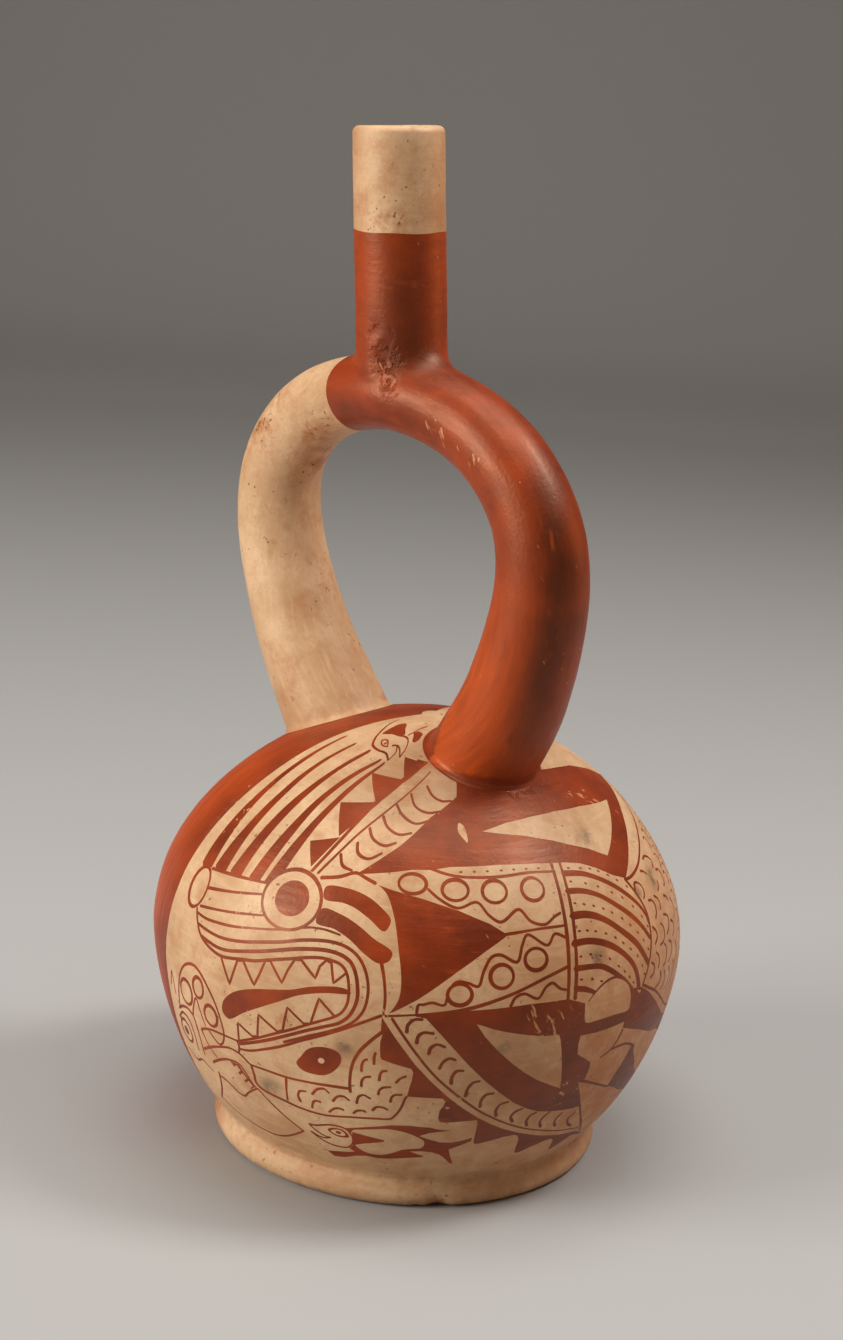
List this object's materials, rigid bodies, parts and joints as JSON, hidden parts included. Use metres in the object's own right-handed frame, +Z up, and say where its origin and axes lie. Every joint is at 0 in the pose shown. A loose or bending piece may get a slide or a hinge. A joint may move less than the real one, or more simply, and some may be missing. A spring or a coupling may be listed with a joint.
{
  "type": "stirrup spout vessel",
  "caption": "Hollow painted ceramic bottle: round chamber on a low ring foot, a stirrup of two tapering legs that meet in an arch, and one straight upright spout.",
  "frame": {"origin": "centre of the foot ring's underside, on the ground", "axes": "+Z up, X along the arch of the stirrup with the all-red leg at +X, Y across it"},
  "size_m": [0.154, 0.154, 0.2899],
  "materials": {
    "slip_painted_ceramic": "satin"
  },
  "bodies": {
    "root": {"vessel": "slip_painted_ceramic"}
  },
  "joints": []
}
